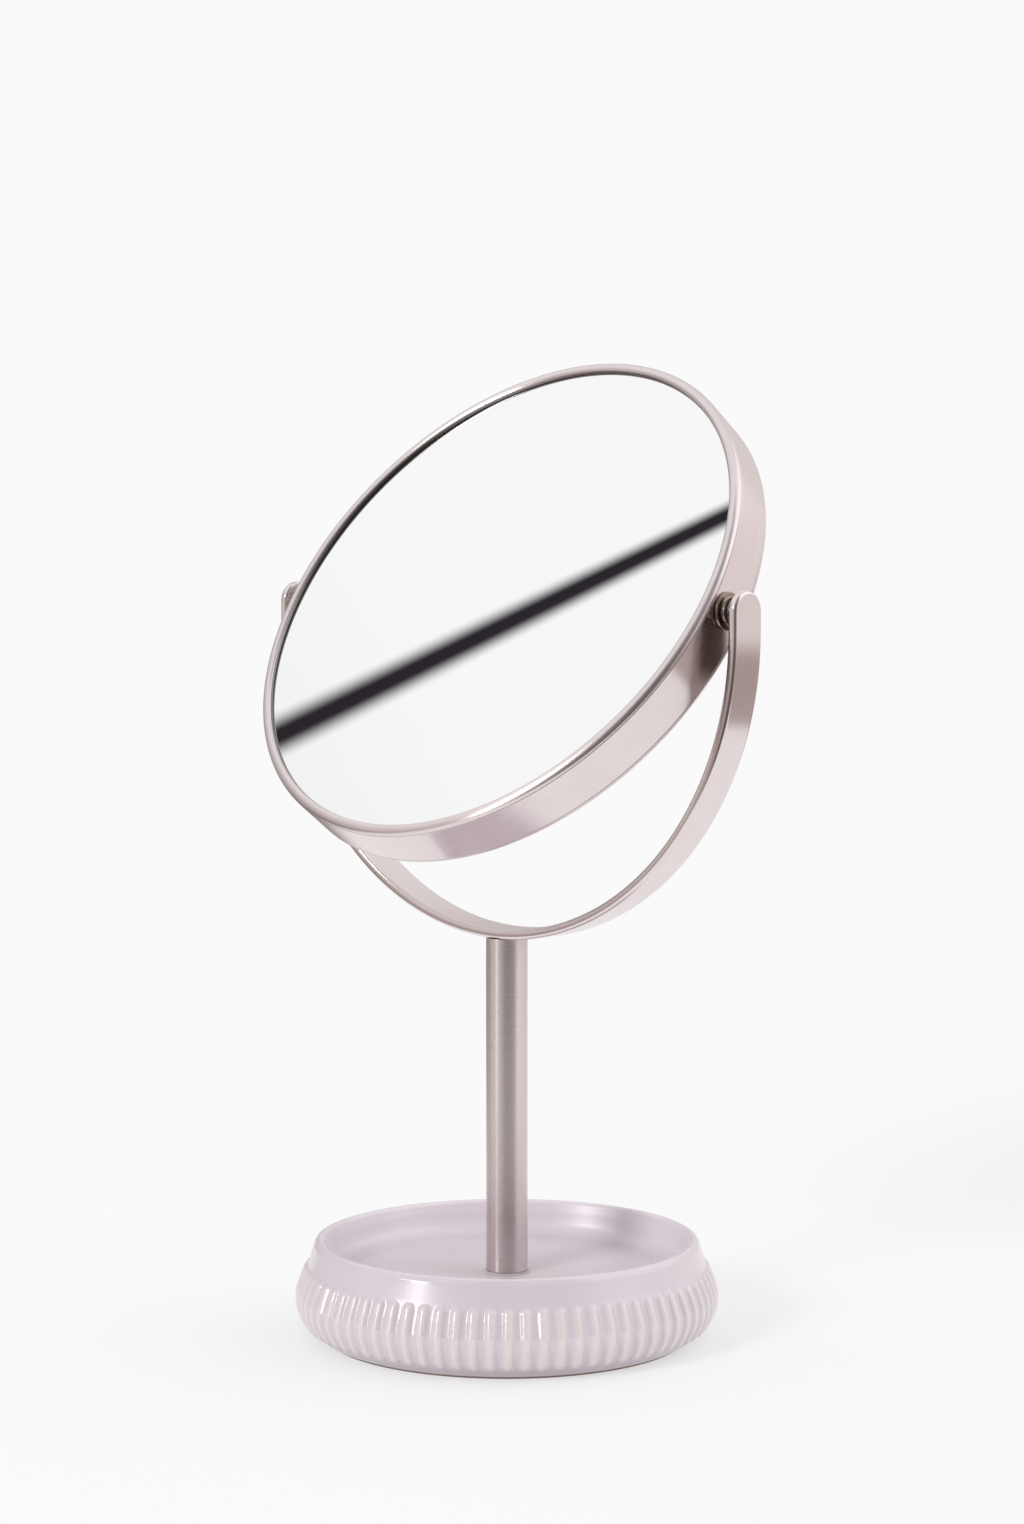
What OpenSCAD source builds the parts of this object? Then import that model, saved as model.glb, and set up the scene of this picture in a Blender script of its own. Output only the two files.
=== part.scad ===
// Double-sided tilting table mirror on a ribbed ceramic tray base.
// Origin: centre of the foot, on the table. +Z is up, the pivots lie along X,
// the flat mirror faces -Y and upwards. All sizes in millimetres.

/* [Mirror head] */
// Outer diameter of the mirror frame
frame_d = 170; // [160:0.5:174]
// Depth of the mirror frame, lip to lip
frame_depth = 17; // [16:0.5:18]
// Width of the rolled lip around each glass, seen from the front
lip_w = 3.5; // [2.5:0.1:5]
// How far each glass sits below the front of its lip
glass_recess = 1.1; // [0.8:0.1:1.5]
// Thickness of each mirror glass
glass_t = 2; // [1.5:0.1:2.2]
// Radius of curvature of the magnifying glass
magnifier_r = 1000; // [800:10:2000]
// Upward tilt of the flat mirror, measured from vertical
tilt = 36; // [0:1:80]

/* [Yoke] */
// Height of the pivot axis above the table
pivot_z = 219.5; // [216:0.5:240]
// Clear half span between the yoke arms
yoke_r = 90; // [90:0.5:95]
// Thickness of the yoke strip
yoke_t = 3; // [2.5:0.1:4]
// Width of the yoke strip
yoke_w = 12; // [11:0.5:14]
// How far the centre of the yoke's bend lies below the pivot axis
yoke_drop = 6.2; // [4:0.1:10]
// Bevel along the strip's four long edges
yoke_bevel = 0.7; // [0.3:0.1:0.9]

/* [Stem] */
// Outer diameter of the stem tube
stem_d = 12.5; // [12:0.1:14]
// Wall of the stem tube
stem_wall = 1; // [0.8:0.1:1.2]

/* [Base] */
// Number of ribs around the base
rib_count = 77; // [60:1:90]
// Width of one rib
rib_w = 3.1; // [2:0.1:3.4]
// Turn of the whole ring of ribs, in rib spacings
rib_turn = 0.13; // [0:0.01:1]
// Height of the tray floor above the table
tray_z = 19; // [18:0.5:20]
// Height of the rim above the table
rim_z = 29.4; // [28:0.1:31]

/* [Hidden] */
$fn = 96;
R = frame_d / 2;
hw = frame_depth / 2;
corner = 1.8;                       // outer rounding of the rolled lips
sheet = 0.8;                        // sheet thickness of the frame
seat = hw - glass_recess;           // height of a glass face in the head's own frame
glass_r = R - sheet - 1;            // edge of both glasses
sag = magnifier_r - sqrt(pow(magnifier_r, 2) - pow(glass_r, 2));
ring_in = glass_r - 3.4;            // inner radius of the plastic spacer ring
bend_z = pivot_z - yoke_drop;       // centre of the yoke's bend
yoke_bottom = bend_z - yoke_r - yoke_t;
stem_z0 = tray_z + 0.4;
shaft_r = 1.5;                      // M3 pivot stud
run = 0.05;                         // radial running clearance on the studs
foot_t = 1;                         // thickness of the non-slip pad

STEEL = [0.80, 0.76, 0.75];
LIP = [0.78, 0.72, 0.70];
DARK = [0.25, 0.23, 0.23];
ZINC = [0.72, 0.73, 0.75];
CLEAR = [0.80, 0.80, 0.82];

// ---- helpers ----

// Points on an arc, centre c, radius r, from angle a to angle b
function arc(c, r, a, b, n = 8) =
    [for (i = [0:n]) let (t = a + (b - a) * i / n) [c[0] + r * cos(t), c[1] + r * sin(t)]];

// Puts a head shape, drawn around its own Z axis, at the pivot and tilts it
module in_head() {
    translate([0, 0, pivot_z]) rotate([90 - tilt, 0, 0]) children();
}

// A turned part around the pivot axis: points are [radius, distance from the centre]
module turned(points) {
    rotate([0, 90, 0]) rotate_extrude() polygon(points);
}

// The left-hand twin of a right-hand piece
module left_side() {
    mirror([1, 0, 0]) children();
}

// Plain ring between two distances along the pivot axis
module pivot_ring(r_out, r_in, x0, x1) {
    turned([[r_in, x0], [r_out, x0], [r_out, x1], [r_in, x1]]);
}

// ---- mirror head ----

// Brushed band around the drum, pierced for the two pivot bushes
module mirror_band() {
    color(STEEL) in_head() difference() {
        rotate_extrude() polygon([[R - sheet, -hw + corner + 0.1], [R - 0.12, -hw + corner + 0.1],
            [R, -hw + corner + 0.22], [R, hw - corner - 0.22], [R - 0.12, hw - corner - 0.1],
            [R - sheet, hw - corner - 0.1]]);
        rotate([0, 90, 0]) cylinder(r = 3 + run, h = 2 * R + 4, center = true);
    }
}

// Rolled bezel: a rounded corner and flat lip outside, a sleeve inside the band
module bezel() {
    rotate_extrude() polygon(concat(
        [[R - sheet - 0.75, 3.6], [R - sheet - 0.05, 3.6], [R - sheet - 0.05, hw - corner - 0.1], [R - 0.12, hw - corner - 0.1]],
        arc([R - corner, hw - corner], corner, 0, 90, 9),
        arc([R - lip_w + 0.45, hw - 0.45], 0.45, 90, 180, 4),
        [[R - lip_w, seat], [R - sheet - 0.95, seat], [R - sheet - 0.75, seat - 0.2]]));
}

module front_bezel() {
    color(LIP) in_head() bezel();
}

module rear_bezel() {
    color(LIP) in_head() mirror([0, 0, 1]) bezel();
}

// Flat silvered glass with a ground edge
module plain_mirror() {
    color([0.93, 0.94, 0.95]) in_head() rotate_extrude()
        polygon([[0, seat - glass_t], [glass_r - 0.3, seat - glass_t], [glass_r, seat - glass_t + 0.3],
            [glass_r, seat - 0.3], [glass_r - 0.3, seat], [0, seat]]);
}

// Concave silvered glass, dished towards the middle of the drum
module magnifying_mirror() {
    color([0.90, 0.92, 0.94]) in_head() intersection() {
        translate([0, 0, -seat - 1]) cylinder(r = glass_r, h = seat + 1);
        difference() {
            translate([0, 0, -seat + sag + glass_t - magnifier_r]) sphere(r = magnifier_r, $fn = 720);
            translate([0, 0, -seat + sag - magnifier_r]) sphere(r = magnifier_r, $fn = 720);
        }
    }
}

// Moulded ring that keeps the two glasses apart, with a boss at each pivot
module spacer_ring() {
    color([0.88, 0.88, 0.86]) in_head() difference() {
        union() {
            rotate_extrude() polygon([[ring_in, -5.1], [glass_r, -5.1], [glass_r, seat - glass_t], [ring_in, seat - glass_t]]);
            for (s = [-1, 1]) translate([s * (ring_in - 1.4), 0, 0.1]) cube([4.8, 14, 9.2], center = true);
        }
        rotate([0, 90, 0]) cylinder(r = 3 + run, h = 2 * R, center = true);
    }
}

// Thin foam disc stuck to the back of the flat glass
module foam_backing() {
    color([0.55, 0.55, 0.56]) in_head() translate([0, 0, seat - glass_t - 0.5]) cylinder(r = 75, h = 0.5);
}

// Flanged bush pressed into the band; the stud turns in it
module pivot_bush() {
    turned(concat([[shaft_r + run, 76], [3, 76], [3, R + 0.02], [5.3, R + 0.02], [5.6, R + 0.3]],
        arc([5.1, R + 0.6], 0.5, 0, 90, 4),
        [[3.9, R + 1.1], [3.7, R + 1.3], [3.7, R + 2.1], [3.5, R + 2.3], [shaft_r + run, R + 2.3]]));
}

module right_pivot_bush() {
    color(DARK + [0.2, 0.18, 0.16]) pivot_bush();
}

module left_pivot_bush() {
    color(DARK + [0.2, 0.18, 0.16]) left_side() pivot_bush();
}

// ---- yoke and pivots ----

// Cross-section of the strip, bevelled on all four long edges: [radius, across]
strip = let (a = yoke_r, b = yoke_r + yoke_t, h = yoke_w / 2, c = yoke_bevel)
    [[a, -h + c], [a + c, -h], [b - c, -h], [b, -h + c], [b, h - c], [b - c, h], [a + c, h], [a, h - c]];

// Half ring of flat strip with straight, round-ended arms
module yoke() {
    color(STEEL) difference() {
        union() {
            translate([0, 0, bend_z]) rotate([-90, 0, 0]) rotate_extrude(angle = 180, $fn = 180) polygon(strip);
            for (s = [0, 1]) mirror([s, 0, 0]) {
                translate([0, 0, bend_z]) linear_extrude(yoke_drop) polygon(strip);
                translate([0, 0, pivot_z]) turned([[0, yoke_r], [yoke_w / 2 - yoke_bevel, yoke_r],
                    [yoke_w / 2, yoke_r + yoke_bevel], [yoke_w / 2, yoke_r + yoke_t - yoke_bevel],
                    [yoke_w / 2 - yoke_bevel, yoke_r + yoke_t], [0, yoke_r + yoke_t]]);
            }
        }
        translate([0, 0, pivot_z]) rotate([0, 90, 0]) cylinder(r = 2.03, h = 2 * yoke_r + 20, center = true);
        translate([0, 0, yoke_bottom - 1]) cylinder(r = 2.2, h = yoke_t + 2);
        translate([0, 0, yoke_bottom + yoke_t - 2.07]) cylinder(r1 = 2.2, r2 = 4.37, h = 2.17);
    }
}

// Shouldered M3 stud: its tenon is riveted flush into the arm
module pivot_stud() {
    translate([0, 0, pivot_z]) turned([[0, 69.5], [1.1, 69.5], [shaft_r, 69.9], [shaft_r, yoke_r - 2],
        [3.7, yoke_r - 2], [4, yoke_r - 1.7], [4, yoke_r], [2, yoke_r], [2, yoke_r + yoke_t - 0.05], [0, yoke_r + yoke_t - 0.05]]);
}

module right_pivot_stud() {
    color(STEEL) pivot_stud();
}

module left_pivot_stud() {
    color(STEEL) left_side() pivot_stud();
}

// Dark nylon washer between the bush and the stud's shoulder
module friction_washer() {
    translate([0, 0, pivot_z]) pivot_ring(4.2, shaft_r + run, R + 2.34, yoke_r - 2.03);
}

module right_friction_washer() {
    color(DARK) friction_washer();
}

module left_friction_washer() {
    color(DARK) left_side() friction_washer();
}

// Flat washer inside the drum, against the end of the bush
module thrust_washer() {
    translate([0, 0, pivot_z]) pivot_ring(3.5, shaft_r + run, 75.4, 75.95);
}

module right_thrust_washer() {
    color(ZINC) thrust_washer();
}

module left_thrust_washer() {
    color(ZINC) left_side() thrust_washer();
}

// Split spring washer that keeps the pivot stiff
module spring_washer() {
    translate([0, 0, pivot_z]) difference() {
        pivot_ring(3.05, shaft_r + run, 74.6, 75.38);
        translate([75, 0, 2.4]) rotate([20, 0, 0]) cube([4, 0.5, 3], center = true);
    }
}

module right_spring_washer() {
    color(ZINC) spring_washer();
}

module left_spring_washer() {
    color(ZINC) left_side() spring_washer();
}

// M3 lock nut on the stud's inner end
module lock_nut() {
    translate([0, 0, pivot_z]) difference() {
        translate([70.6, 0, 0]) rotate([0, 90, 0]) cylinder(r = 2.75 / cos(30), h = 3.98, $fn = 6);
        translate([69, 0, 0]) rotate([0, 90, 0]) cylinder(r = shaft_r + 0.01, h = 8);
    }
}

module right_lock_nut() {
    color(ZINC) lock_nut();
}

module left_lock_nut() {
    color(ZINC) left_side() lock_nut();
}

// Countersunk M4 screw through the middle of the yoke
module yoke_screw() {
    top = yoke_bottom + yoke_t - 0.05;
    color(ZINC) difference() {
        rotate_extrude() polygon([[0, top], [4, top], [4, top - 0.2], [2, top - 2.2], [1.95, top - 2.3],
            [1.95, yoke_bottom - 9], [1.5, yoke_bottom - 9.6], [0, yoke_bottom - 9.6]]);
        translate([0, 0, top - 1.6]) cylinder(r = 1.25 / cos(30), h = 3, $fn = 6);
    }
}

// ---- stem ----

// Threaded plug pressed into the top of the tube
module stem_top_plug() {
    color(ZINC) difference() {
        translate([0, 0, yoke_bottom - 13]) cylinder(r = stem_d / 2 - stem_wall, h = 12.95);
        translate([0, 0, yoke_bottom - 11]) cylinder(r = 2, h = 12);
    }
}

module stem_tube() {
    color(STEEL) translate([0, 0, stem_z0]) difference() {
        rotate_extrude() polygon([[0, 0], [stem_d / 2 - 0.25, 0], [stem_d / 2, 0.25], [stem_d / 2, yoke_bottom - stem_z0 - 0.25],
            [stem_d / 2 - 0.25, yoke_bottom - stem_z0], [0, yoke_bottom - stem_z0]]);
        translate([0, 0, -1]) cylinder(r = stem_d / 2 - stem_wall, h = yoke_bottom);
    }
}

// Threaded plug pressed into the foot of the tube
module stem_foot_plug() {
    color(ZINC) difference() {
        translate([0, 0, stem_z0 + 0.05]) cylinder(r = stem_d / 2 - stem_wall, h = 16);
        translate([0, 0, stem_z0 - 1]) cylinder(r = 3, h = 15);
    }
}

// Thin clear washer between the tube and the glaze, a little wider than the tube
module stem_gasket() {
    color(CLEAR) translate([0, 0, tray_z]) difference() {
        cylinder(r = stem_d / 2 + 0.75, h = 0.4);
        translate([0, 0, -1]) cylinder(r = 3.3, h = 3);
    }
}

// ---- base ----

// Outline of the smooth body: [radius, height], from the foot up to the shoulder
body_side = [[54.6, foot_t], [57, 1.7], [59.4, 3.8], [61.3, 6.6], [62.6, 10], [62.8, 13], [61.8, 16.8], [59.6, 22.4]];
// The ribs' crests follow the body, a little further out
crest_side = [[56, 1.5], [58.4, 2.2], [61, 4.3], [62.9, 7.4], [63.9, 10.8], [64, 12.4], [62.7, 17.2], [60.7, 21.7], [59.5, 22.5]];

// Dished tray, closed above and hollow below, turned about Z
module dish_body() {
    rotate_extrude($fn = 180) polygon(concat(
        [[3.3, tray_z - 5]], arc([52, tray_z - 8], 3, 90, 0, 5),
        [[54.6, 6], [48.5, 2.6], [48.5, foot_t]],
        body_side,
        [[59.1, 24.2], [58.5, 26.6], [57.9, rim_z - 1.1]],
        arc([56.4, rim_z - 1.4], 1.4, 20, 160, 8),
        [[54.5, rim_z - 2.6], [54, tray_z + 5.2]],
        arc([49, tray_z + 5], 5, 0, -90, 8),
        [[3.3, tray_z]]));
}

module ceramic_base() {
    color([0.84, 0.79, 0.84]) union() {
        dish_body();
        intersection() {
            rotate_extrude($fn = 180) polygon(concat([[55, 1.6]], crest_side, [[55, 22.5]]));
            linear_extrude(30) for (i = [0:rib_count - 1])
                rotate((i + rib_turn) * 360 / rib_count) translate([54, -rib_w / 2]) square([12, rib_w]);
        }
    }
}

// Rubber washer under the tray floor
module clamp_gasket() {
    color(DARK) translate([0, 0, tray_z - 6]) difference() {
        cylinder(r = 12, h = 1);
        translate([0, 0, -1]) cylinder(r = 3.3, h = 3);
    }
}

// Wide steel washer that spreads the clamping force
module clamp_washer() {
    color(ZINC) translate([0, 0, tray_z - 7.2]) difference() {
        cylinder(r = 11, h = 1.2);
        translate([0, 0, -1]) cylinder(r = 3.2, h = 4);
    }
}

// M6 hex-socket screw that draws the stem down onto the tray
module base_screw() {
    z0 = tray_z - 7.2;
    color(ZINC) difference() {
        rotate_extrude() polygon([[0, z0 - 4], [4.2, z0 - 4], [5.2, z0 - 3.2], [5.2, z0], [2.95, z0],
            [2.95, stem_z0 + 11.4], [2.4, stem_z0 + 12], [0, stem_z0 + 12]]);
        translate([0, 0, z0 - 6]) cylinder(r = 2 / cos(30), h = 4.2, $fn = 6);
    }
}

// Non-slip pad stuck to the unglazed foot ring
module foot_pad() {
    color([0.55, 0.47, 0.40]) difference() {
        cylinder(r = 54.4, h = foot_t, $fn = 180);
        translate([0, 0, -1]) cylinder(r = 48.7, h = foot_t + 2, $fn = 180);
    }
}

mirror_band();
front_bezel();
rear_bezel();
plain_mirror();
magnifying_mirror();
spacer_ring();
foam_backing();
translate([0, 0, pivot_z]) right_pivot_bush();
translate([0, 0, pivot_z]) left_pivot_bush();
yoke();
right_pivot_stud();
left_pivot_stud();
right_friction_washer();
left_friction_washer();
right_thrust_washer();
left_thrust_washer();
right_spring_washer();
left_spring_washer();
right_lock_nut();
left_lock_nut();
yoke_screw();
stem_top_plug();
stem_tube();
stem_foot_plug();
stem_gasket();
ceramic_base();
clamp_gasket();
clamp_washer();
base_screw();
foot_pad();
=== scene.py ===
import math

import bmesh
import bpy
import numpy as np
from mathutils import Matrix


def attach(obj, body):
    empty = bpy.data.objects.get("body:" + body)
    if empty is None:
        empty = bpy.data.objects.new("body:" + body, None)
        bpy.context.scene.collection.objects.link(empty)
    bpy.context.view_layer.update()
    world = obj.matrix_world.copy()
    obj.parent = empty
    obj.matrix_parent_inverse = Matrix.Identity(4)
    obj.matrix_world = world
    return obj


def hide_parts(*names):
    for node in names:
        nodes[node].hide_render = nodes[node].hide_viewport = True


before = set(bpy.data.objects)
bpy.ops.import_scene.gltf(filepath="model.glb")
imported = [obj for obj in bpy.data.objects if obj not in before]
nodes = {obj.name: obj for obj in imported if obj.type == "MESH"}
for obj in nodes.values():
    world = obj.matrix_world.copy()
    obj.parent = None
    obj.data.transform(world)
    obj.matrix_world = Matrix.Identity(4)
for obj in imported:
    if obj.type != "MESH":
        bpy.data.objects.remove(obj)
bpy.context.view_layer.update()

scene = bpy.context.scene
MM = 0.001

# ---------------------------------------------------------------- sizes, in millimetres
R = 85.0            # mirror frame, outer radius
HW = 8.5            # half of its depth
PIVOT_Z = 219.5
TILT = 36.0         # the plain glass leans back this much
YOKE_R = 90.0       # inner radius of the yoke
YOKE_T = 3.0
YOKE_W = 12.0
BEND_Z = 213.3
STEM_R = 6.25
STEM_Z0, STEM_Z1 = 19.4, 120.3
TRAY_Z = 19.0
RIM_Z = 29.4
RIBS = 77
RIB_TURN = 0.13

HEAD = Matrix.Translation((0, 0, PIVOT_Z * MM)) @ Matrix.Rotation(math.radians(90 - TILT), 4, "X")


# ---------------------------------------------------------------- outlines
def arc(cx, cy, r, a0, a1, n):
    """n + 1 points on a circle, angles in degrees."""
    return [(cx + r * math.cos(math.radians(a0 + (a1 - a0) * i / n)),
             cy + r * math.sin(math.radians(a0 + (a1 - a0) * i / n))) for i in range(n + 1)]


def soften(points, radius, n=3, closed=True):
    """The same outline with each corner rounded. radius is one number, or one for each corner."""
    out = []
    m = len(points)
    rad = [radius] * m if isinstance(radius, (int, float)) else list(radius)
    for i, p in enumerate(points):
        if rad[i] <= 0 or (not closed and i in (0, m - 1)):
            out.append(tuple(p))
            continue
        p = np.array(p, float)
        a = np.array(points[i - 1], float) - p
        b = np.array(points[(i + 1) % m], float) - p
        la, lb = np.linalg.norm(a), np.linalg.norm(b)
        a, b = a / la, b / lb
        cosang = float(np.clip(a @ b, -1, 1))
        if cosang < -0.999:
            out.append(tuple(p))
            continue
        half = math.acos(cosang) / 2
        d = min(rad[i] / math.tan(half), la * 0.45, lb * 0.45)
        r = d * math.tan(half)
        c = p + (a + b) / np.linalg.norm(a + b) * (r / math.sin(half))
        s, e = p + a * d - c, p + b * d - c
        t0 = math.atan2(s[1], s[0])
        t1 = math.atan2(e[1], e[0])
        dt = (t1 - t0 + math.pi) % (2 * math.pi) - math.pi
        for k in range(n + 1):
            t = t0 + dt * k / n
            out.append((c[0] + r * math.cos(t), c[1] + r * math.sin(t)))
    return out


def smooth_line(points, n):
    """n + 1 points along a smooth curve through the given ones."""
    p = np.array(points, float)
    s = np.concatenate([[0], np.cumsum(np.linalg.norm(np.diff(p, axis=0), axis=1))])
    m = np.empty_like(p)
    m[1:-1] = ((p[1:-1] - p[:-2]) / (s[1:-1] - s[:-2])[:, None] * (s[2:] - s[1:-1])[:, None]
               + (p[2:] - p[1:-1]) / (s[2:] - s[1:-1])[:, None] * (s[1:-1] - s[:-2])[:, None]) / (s[2:] - s[:-2])[:, None]
    m[0] = (p[1] - p[0]) / (s[1] - s[0])
    m[-1] = (p[-1] - p[-2]) / (s[-1] - s[-2])
    q = np.linspace(0, s[-1], n + 1)
    i = np.clip(np.searchsorted(s, q, side="right") - 1, 0, len(s) - 2)
    h = (s[i + 1] - s[i])[:, None]
    t = ((q - s[i]) / (s[i + 1] - s[i]))[:, None]
    return ((2 * t**3 - 3 * t**2 + 1) * p[i] + (t**3 - 2 * t**2 + t) * h * m[i]
            + (-2 * t**3 + 3 * t**2) * p[i + 1] + (t**3 - t**2) * h * m[i + 1])


# ---------------------------------------------------------------- meshes
class Shape:
    """Quads gathered from grids of points, with a UV map in millimetres whose u runs along the brushing."""

    def __init__(self):
        self.v, self.f, self.uv, self.m, self.relief, self.n = [], [], [], [], [], 0

    def grid(self, P, U, V, close_u=False, close_v=False, mat=0, relief=None):
        a, b = P.shape[:2]
        ia = np.arange(a if close_u else a - 1)
        jb = np.arange(b if close_v else b - 1)
        I, J = np.meshgrid(ia, jb, indexing="ij")
        I2, J2 = (I + 1) % a, (J + 1) % b
        idx = lambda i, j: self.n + i * b + j
        quads = np.stack([idx(I, J), idx(I2, J), idx(I2, J2), idx(I, J2)], -1).reshape(-1, 4)
        U, V = np.asarray(U, float), np.asarray(V, float)
        uv = np.stack([np.stack([U[I], V[J]], -1), np.stack([U[I + 1], V[J]], -1),
                       np.stack([U[I + 1], V[J + 1]], -1), np.stack([U[I], V[J + 1]], -1)], -2).reshape(-1, 4, 2)
        mats = np.broadcast_to(np.asarray(mat), (len(jb),)) if np.ndim(mat) else np.full(len(jb), mat)
        self.v.append(P.reshape(-1, 3))
        self.f.append(quads)
        self.uv.append(uv)
        self.m.append(np.broadcast_to(mats, (len(ia), len(jb))).reshape(-1))
        self.relief.append(np.zeros(a * b) if relief is None else np.asarray(relief, float).reshape(-1))
        self.n += a * b
        return self

    def revolve(self, profile, segments, axis="Z", close=True, mat=0, along="round", ref=None):
        """Turns [(radius, height), ...] about an axis."""
        p = np.array(profile, float)
        t = np.arange(segments) / segments * 2 * math.pi
        r, h = p[:, 0][None, :], p[:, 1][None, :]
        c, s = np.cos(t)[:, None], np.sin(t)[:, None]
        if axis == "Z":
            P = np.stack([r * c, r * s, h + 0 * c], -1)
        else:
            P = np.stack([h + 0 * c, r * c, r * s], -1)
        q = np.concatenate([p, p[:1]]) if close else p
        V = np.concatenate([[0], np.cumsum(np.linalg.norm(np.diff(q, axis=0), axis=1))])
        U = np.arange(segments + 1) / segments * 2 * math.pi * (ref or float(p[:, 0].max()))
        return self.grid(P, U, V, close_u=True, close_v=close, mat=mat)

    def build(self, name, mats, matrix=None, sharp=35, weighted=True, relief=False):
        me = bpy.data.meshes.new(name)
        v = np.concatenate(self.v) * MM
        if matrix is not None:
            m4 = np.array(matrix)
            v = v @ m4[:3, :3].T + m4[:3, 3]
        f = np.concatenate(self.f)
        me.from_pydata(v.tolist(), [], f.tolist())
        layer = me.uv_layers.new(name="brush")
        layer.data.foreach_set("uv", (np.concatenate(self.uv).reshape(-1)).astype(np.float32))
        me.polygons.foreach_set("material_index", np.concatenate(self.m).astype(np.int32))
        if relief:
            att = me.attributes.new("relief", "FLOAT", "POINT")
            att.data.foreach_set("value", np.concatenate(self.relief).astype(np.float32))
        for m in mats:
            me.materials.append(m)
        bm = bmesh.new()
        bm.from_mesh(me)
        bmesh.ops.remove_doubles(bm, verts=bm.verts, dist=1e-6)
        bmesh.ops.recalc_face_normals(bm, faces=bm.faces)
        bm.to_mesh(me)
        bm.free()
        me.shade_smooth()
        me.set_sharp_from_angle(angle=math.radians(sharp))
        o = bpy.data.objects.new(name, me)
        scene.collection.objects.link(o)
        if weighted:
            w = o.modifiers.new("normals", "WEIGHTED_NORMAL")
            w.keep_sharp = True
            w.weight = 80
        return o


# ---------------------------------------------------------------- materials
def new_mat(name):
    m = bpy.data.materials.new(name)
    m.use_nodes = True
    nt = m.node_tree
    b = next(n for n in nt.nodes if n.type == "BSDF_PRINCIPLED")
    return m, nt, b


def noise(nt, vec, scale, detail=3.0, rough=0.55):
    n = nt.nodes.new("ShaderNodeTexNoise")
    n.inputs["Scale"].default_value = scale
    n.inputs["Detail"].default_value = detail
    n.inputs["Roughness"].default_value = rough
    nt.links.new(vec, n.inputs["Vector"])
    return n.outputs["Fac"]


def mapped(nt, sock, lo, hi, a=0.0, b=1.0, smooth=False):
    n = nt.nodes.new("ShaderNodeMapRange")
    if smooth:
        n.interpolation_type = "SMOOTHSTEP"
    for k, v in (("From Min", a), ("From Max", b), ("To Min", lo), ("To Max", hi)):
        n.inputs[k].default_value = v
    nt.links.new(sock, n.inputs["Value"])
    return n.outputs["Result"]


def math_node(nt, op, a, b=None, c=None):
    n = nt.nodes.new("ShaderNodeMath")
    n.operation = op
    for i, s in enumerate((a, b, c)):
        if s is None:
            continue
        if isinstance(s, (int, float)):
            n.inputs[i].default_value = s
        else:
            nt.links.new(s, n.inputs[i])
    return n.outputs[0]


def scaled(nt, sock, xyz):
    n = nt.nodes.new("ShaderNodeVectorMath")
    n.operation = "MULTIPLY"
    n.inputs[1].default_value = xyz
    nt.links.new(sock, n.inputs[0])
    return n.outputs[0]


def mix_rgb(nt, fac, a, b, mode="MIX"):
    n = nt.nodes.new("ShaderNodeMix")
    n.data_type = "RGBA"
    n.blend_type = mode
    for name, s in (("Factor", fac), ("A", a), ("B", b)):
        sock = [i for i in n.inputs if i.name == name and i.enabled and (i.type == "RGBA" if name != "Factor" else i.type == "VALUE")][0]
        if isinstance(s, (int, float)):
            sock.default_value = s
        elif isinstance(s, tuple):
            sock.default_value = (*s, 1.0)
        else:
            nt.links.new(s, sock)
    return [o for o in n.outputs if o.type == "RGBA"][0]


def bump(nt, b, height, distance, strength=1.0, normal=None):
    n = nt.nodes.new("ShaderNodeBump")
    n.inputs["Strength"].default_value = strength
    n.inputs["Distance"].default_value = distance
    nt.links.new(height, n.inputs["Height"])
    if normal is not None:
        nt.links.new(normal, n.inputs["Normal"])
    nt.links.new(n.outputs["Normal"], b.inputs["Normal"])
    return n.outputs["Normal"]


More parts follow.
